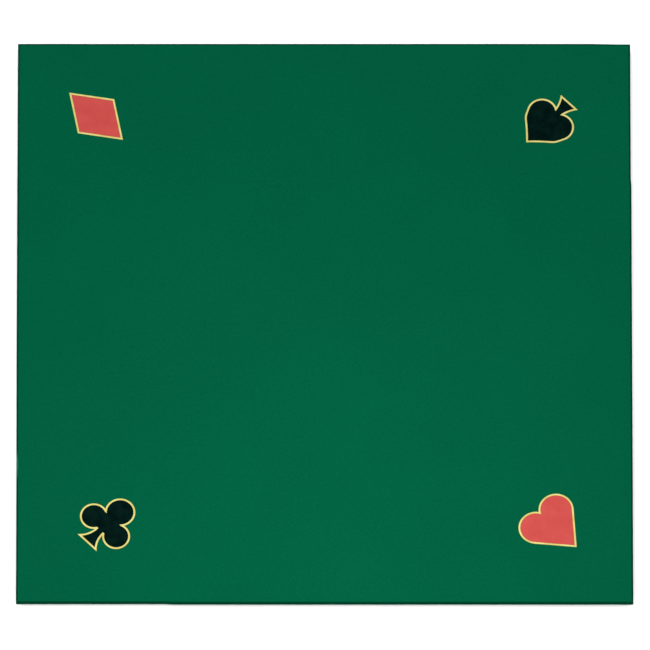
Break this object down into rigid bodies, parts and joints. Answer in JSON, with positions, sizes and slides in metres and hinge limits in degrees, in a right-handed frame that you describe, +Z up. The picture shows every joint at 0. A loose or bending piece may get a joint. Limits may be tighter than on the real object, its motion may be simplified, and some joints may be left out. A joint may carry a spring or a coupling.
{
  "type": "folding card table top",
  "caption": "Square padded felt card table top in two halves that fold face to face, with suit marks, rubber feet and slide bolts underneath.",
  "frame": {"origin": "under the middle of the open top, on the surface that its rubber feet stand on", "axes": "+X runs along the fold line to the player's right, +Y points away to the rear half, +Z up out of the playing surface"},
  "size_m": [0.864, 0.864, 0.015],
  "materials": {
    "felt": "matte",
    "board": "matte",
    "foam": "matte",
    "hinge_cloth": "matte",
    "liner": "matte",
    "rubber": "matte",
    "screw_steel": "satin",
    "bolt_steel": "satin",
    "black_plate": "satin",
    "gold_print": "matte",
    "red_print": "matte",
    "black_print": "matte"
  },
  "bodies": {
    "front_half": {"front_board": "board", "front_hinge_tape": "hinge_cloth", "front_foam_pad": "foam", "front_felt_cover": "felt", "front_liner": "liner", "front_foot_1": "rubber", "front_foot_screw_1": "screw_steel", "front_foot_2": "rubber", "front_foot_screw_2": "screw_steel", "front_foot_3": "rubber", "front_foot_screw_3": "screw_steel", "front_foot_4": "rubber", "front_foot_screw_4": "screw_steel", "club_border": "gold_print", "club_fill": "black_print", "heart_border": "gold_print", "heart_fill": "red_print", "left_bolt_plate": "black_plate", "left_plate_screw_1": "screw_steel", "left_plate_screw_2": "screw_steel", "left_plate_screw_3": "screw_steel", "left_plate_screw_4": "screw_steel", "right_bolt_plate": "black_plate", "right_plate_screw_1": "screw_steel", "right_plate_screw_2": "screw_steel", "right_plate_screw_3": "screw_steel", "right_plate_screw_4": "screw_steel"},
    "rear_half": {"rear_board": "board", "rear_hinge_tape": "hinge_cloth", "rear_foam_pad": "foam", "rear_felt_cover": "felt", "rear_liner": "liner", "rear_foot_1": "rubber", "rear_foot_screw_1": "screw_steel", "rear_foot_2": "rubber", "rear_foot_screw_2": "screw_steel", "rear_foot_3": "rubber", "rear_foot_screw_3": "screw_steel", "rear_foot_4": "rubber", "rear_foot_screw_4": "screw_steel", "diamond_border": "gold_print", "diamond_fill": "red_print", "spade_border": "gold_print", "spade_fill": "black_print", "left_keeper": "black_plate", "left_keeper_screw_1": "screw_steel", "left_keeper_screw_2": "screw_steel", "right_keeper": "black_plate", "right_keeper_screw_1": "screw_steel", "right_keeper_screw_2": "screw_steel"},
    "left_bolt": {"left_bolt_bar": "bolt_steel"},
    "right_bolt": {"right_bolt_bar": "bolt_steel"}
  },
  "joints": [
    {"name": "fold", "type": "hinge", "parent": "front_half", "child": "rear_half", "pos_m": [0, 0, 0.0153], "axis": [1, 0, 0], "range_deg": [0, 180]},
    {"name": "left_bolt_slide", "type": "slide", "parent": "front_half", "child": "left_bolt", "axis": [0, 1, 0], "range_m": [0, 0.026]},
    {"name": "right_bolt_slide", "type": "slide", "parent": "front_half", "child": "right_bolt", "axis": [0, 1, 0], "range_m": [0, 0.026]}
  ]
}
